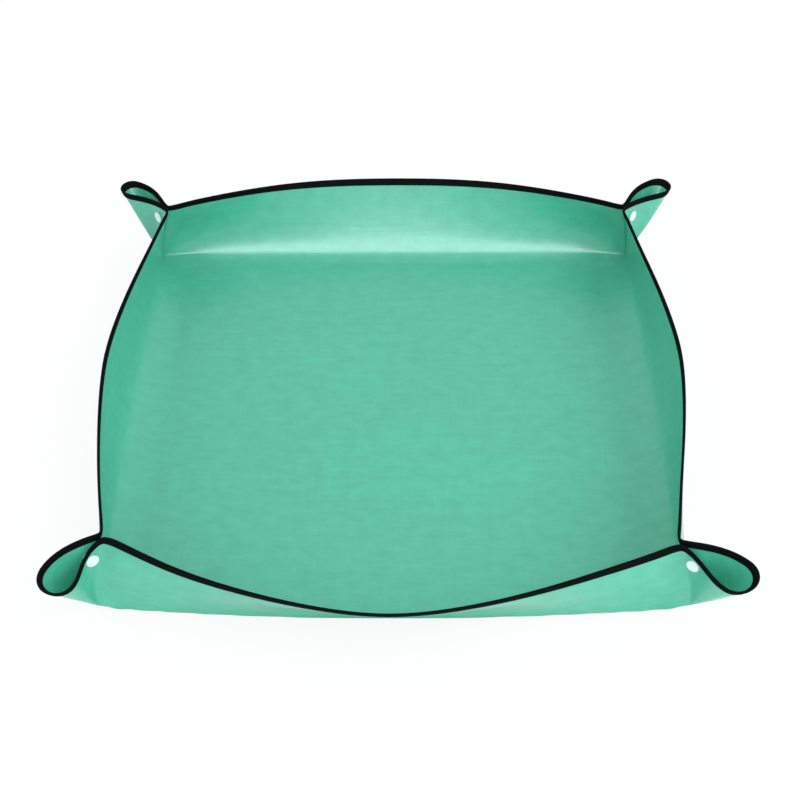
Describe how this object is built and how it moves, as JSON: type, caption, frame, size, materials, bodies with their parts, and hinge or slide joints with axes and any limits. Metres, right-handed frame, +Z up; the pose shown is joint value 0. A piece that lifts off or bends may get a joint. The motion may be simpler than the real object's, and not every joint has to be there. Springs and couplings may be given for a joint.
{
  "type": "potting soil tray",
  "caption": "Square coated mat with a bound edge, its corners pinched by press snaps into ear-like loops so that it stands as a shallow tray for potting soil.",
  "frame": {"origin": "middle of the floor's underside", "axes": "+Z up out of the tray, +X along the front and back walls, +Y from front to back"},
  "size_m": [0.624, 0.644, 0.0768],
  "materials": {
    "sheet": "mint green coated woven sheet, glossy, with a fine weave",
    "binding": "black woven tape folded over the edge and sewn",
    "snap": "white moulded press snap, smooth"
  },
  "bodies": {
    "floor": {"floor_panel": "sheet"},
    "front_side": {"front_wall": "sheet", "front_wall_binding": "binding"},
    "back_side": {"back_wall": "sheet", "back_wall_binding": "binding"},
    "left_side": {"left_wall": "sheet", "left_wall_binding": "binding"},
    "right_side": {"right_wall": "sheet", "right_wall_binding": "binding"},
    "front_left_ear_end_half": {"front_left_ear_end": "sheet", "front_left_ear_end_binding": "binding", "front_left_snap_cap_end": "snap", "front_left_snap_socket": "snap"},
    "front_left_ear_side_half": {"front_left_ear_side": "sheet", "front_left_ear_side_binding": "binding", "front_left_snap_cap_side": "snap", "front_left_snap_stud": "snap"},
    "front_right_ear_end_half": {"front_right_ear_end": "sheet", "front_right_ear_end_binding": "binding", "front_right_snap_cap_end": "snap", "front_right_snap_socket": "snap"},
    "front_right_ear_side_half": {"front_right_ear_side": "sheet", "front_right_ear_side_binding": "binding", "front_right_snap_cap_side": "snap", "front_right_snap_stud": "snap"},
    "back_left_ear_end_half": {"back_left_ear_end": "sheet", "back_left_ear_end_binding": "binding", "back_left_snap_cap_end": "snap", "back_left_snap_socket": "snap"},
    "back_left_ear_side_half": {"back_left_ear_side": "sheet", "back_left_ear_side_binding": "binding", "back_left_snap_cap_side": "snap", "back_left_snap_stud": "snap"},
    "back_right_ear_end_half": {"back_right_ear_end": "sheet", "back_right_ear_end_binding": "binding", "back_right_snap_cap_end": "snap", "back_right_snap_socket": "snap"},
    "back_right_ear_side_half": {"back_right_ear_side": "sheet", "back_right_ear_side_binding": "binding", "back_right_snap_cap_side": "snap", "back_right_snap_stud": "snap"}
  },
  "joints": [
    {"name": "front_wall_fold", "type": "hinge", "parent": "floor", "child": "front_side", "pos_m": [0, -0.264, 0.00402], "axis": [1, 0, 0], "range_deg": [0, 43]},
    {"name": "back_wall_fold", "type": "hinge", "parent": "floor", "child": "back_side", "pos_m": [0, 0.264, 0.00402], "axis": [-1, 0, 0], "range_deg": [0, 43]},
    {"name": "left_wall_fold", "type": "hinge", "parent": "floor", "child": "left_side", "pos_m": [-0.264, 0, 0.00402], "axis": [0, -1, 0], "range_deg": [0, 78]},
    {"name": "right_wall_fold", "type": "hinge", "parent": "floor", "child": "right_side", "pos_m": [0.264, 0, 0.00402], "axis": [0, 1, 0], "range_deg": [0, 78]},
    {"name": "front_left_ear_end_fold", "type": "hinge", "parent": "front_side", "child": "front_left_ear_end_half", "pos_m": [-0.264, -0.264, 0.00402], "axis": [-0.2499, -0.1405, -0.958], "range_deg": [0, 10.9]},
    {"name": "front_left_ear_side_fold", "type": "hinge", "parent": "left_side", "child": "front_left_ear_side_half", "pos_m": [-0.264, -0.264, 0.00402], "axis": [0.1968, 0.2085, 0.958], "range_deg": [0, 56.6]},
    {"name": "front_right_ear_end_fold", "type": "hinge", "parent": "front_side", "child": "front_right_ear_end_half", "pos_m": [0.264, -0.264, 0.00402], "axis": [-0.2499, 0.1405, 0.958], "range_deg": [0, 10.9]},
    {"name": "front_right_ear_side_fold", "type": "hinge", "parent": "right_side", "child": "front_right_ear_side_half", "pos_m": [0.264, -0.264, 0.00402], "axis": [0.1968, -0.2085, -0.958], "range_deg": [0, 56.6]},
    {"name": "back_left_ear_end_fold", "type": "hinge", "parent": "back_side", "child": "back_left_ear_end_half", "pos_m": [-0.264, 0.264, 0.00402], "axis": [0.2499, -0.1405, 0.958], "range_deg": [0, 10.9]},
    {"name": "back_left_ear_side_fold", "type": "hinge", "parent": "left_side", "child": "back_left_ear_side_half", "pos_m": [-0.264, 0.264, 0.00402], "axis": [-0.1968, 0.2085, -0.958], "range_deg": [0, 56.6]},
    {"name": "back_right_ear_end_fold", "type": "hinge", "parent": "back_side", "child": "back_right_ear_end_half", "pos_m": [0.264, 0.264, 0.00402], "axis": [0.2499, 0.1405, -0.958], "range_deg": [0, 10.9]},
    {"name": "back_right_ear_side_fold", "type": "hinge", "parent": "right_side", "child": "back_right_ear_side_half", "pos_m": [0.264, 0.264, 0.00402], "axis": [-0.1968, -0.2085, 0.958], "range_deg": [0, 56.6]}
  ],
  "couplings": [
    {"joint": "back_wall_fold", "follows": "front_wall_fold", "ratio": 1},
    {"joint": "left_wall_fold", "follows": "front_wall_fold", "ratio": 1.814},
    {"joint": "right_wall_fold", "follows": "front_wall_fold", "ratio": 1.814},
    {"joint": "front_left_ear_end_fold", "follows": "front_wall_fold", "ratio": 0.25349},
    {"joint": "front_left_ear_side_fold", "follows": "front_wall_fold", "ratio": 1.3163},
    {"joint": "front_right_ear_end_fold", "follows": "front_wall_fold", "ratio": 0.25349},
    {"joint": "front_right_ear_side_fold", "follows": "front_wall_fold", "ratio": 1.3163},
    {"joint": "back_left_ear_end_fold", "follows": "front_wall_fold", "ratio": 0.25349},
    {"joint": "back_left_ear_side_fold", "follows": "front_wall_fold", "ratio": 1.3163},
    {"joint": "back_right_ear_end_fold", "follows": "front_wall_fold", "ratio": 0.25349},
    {"joint": "back_right_ear_side_fold", "follows": "front_wall_fold", "ratio": 1.3163}
  ]
}
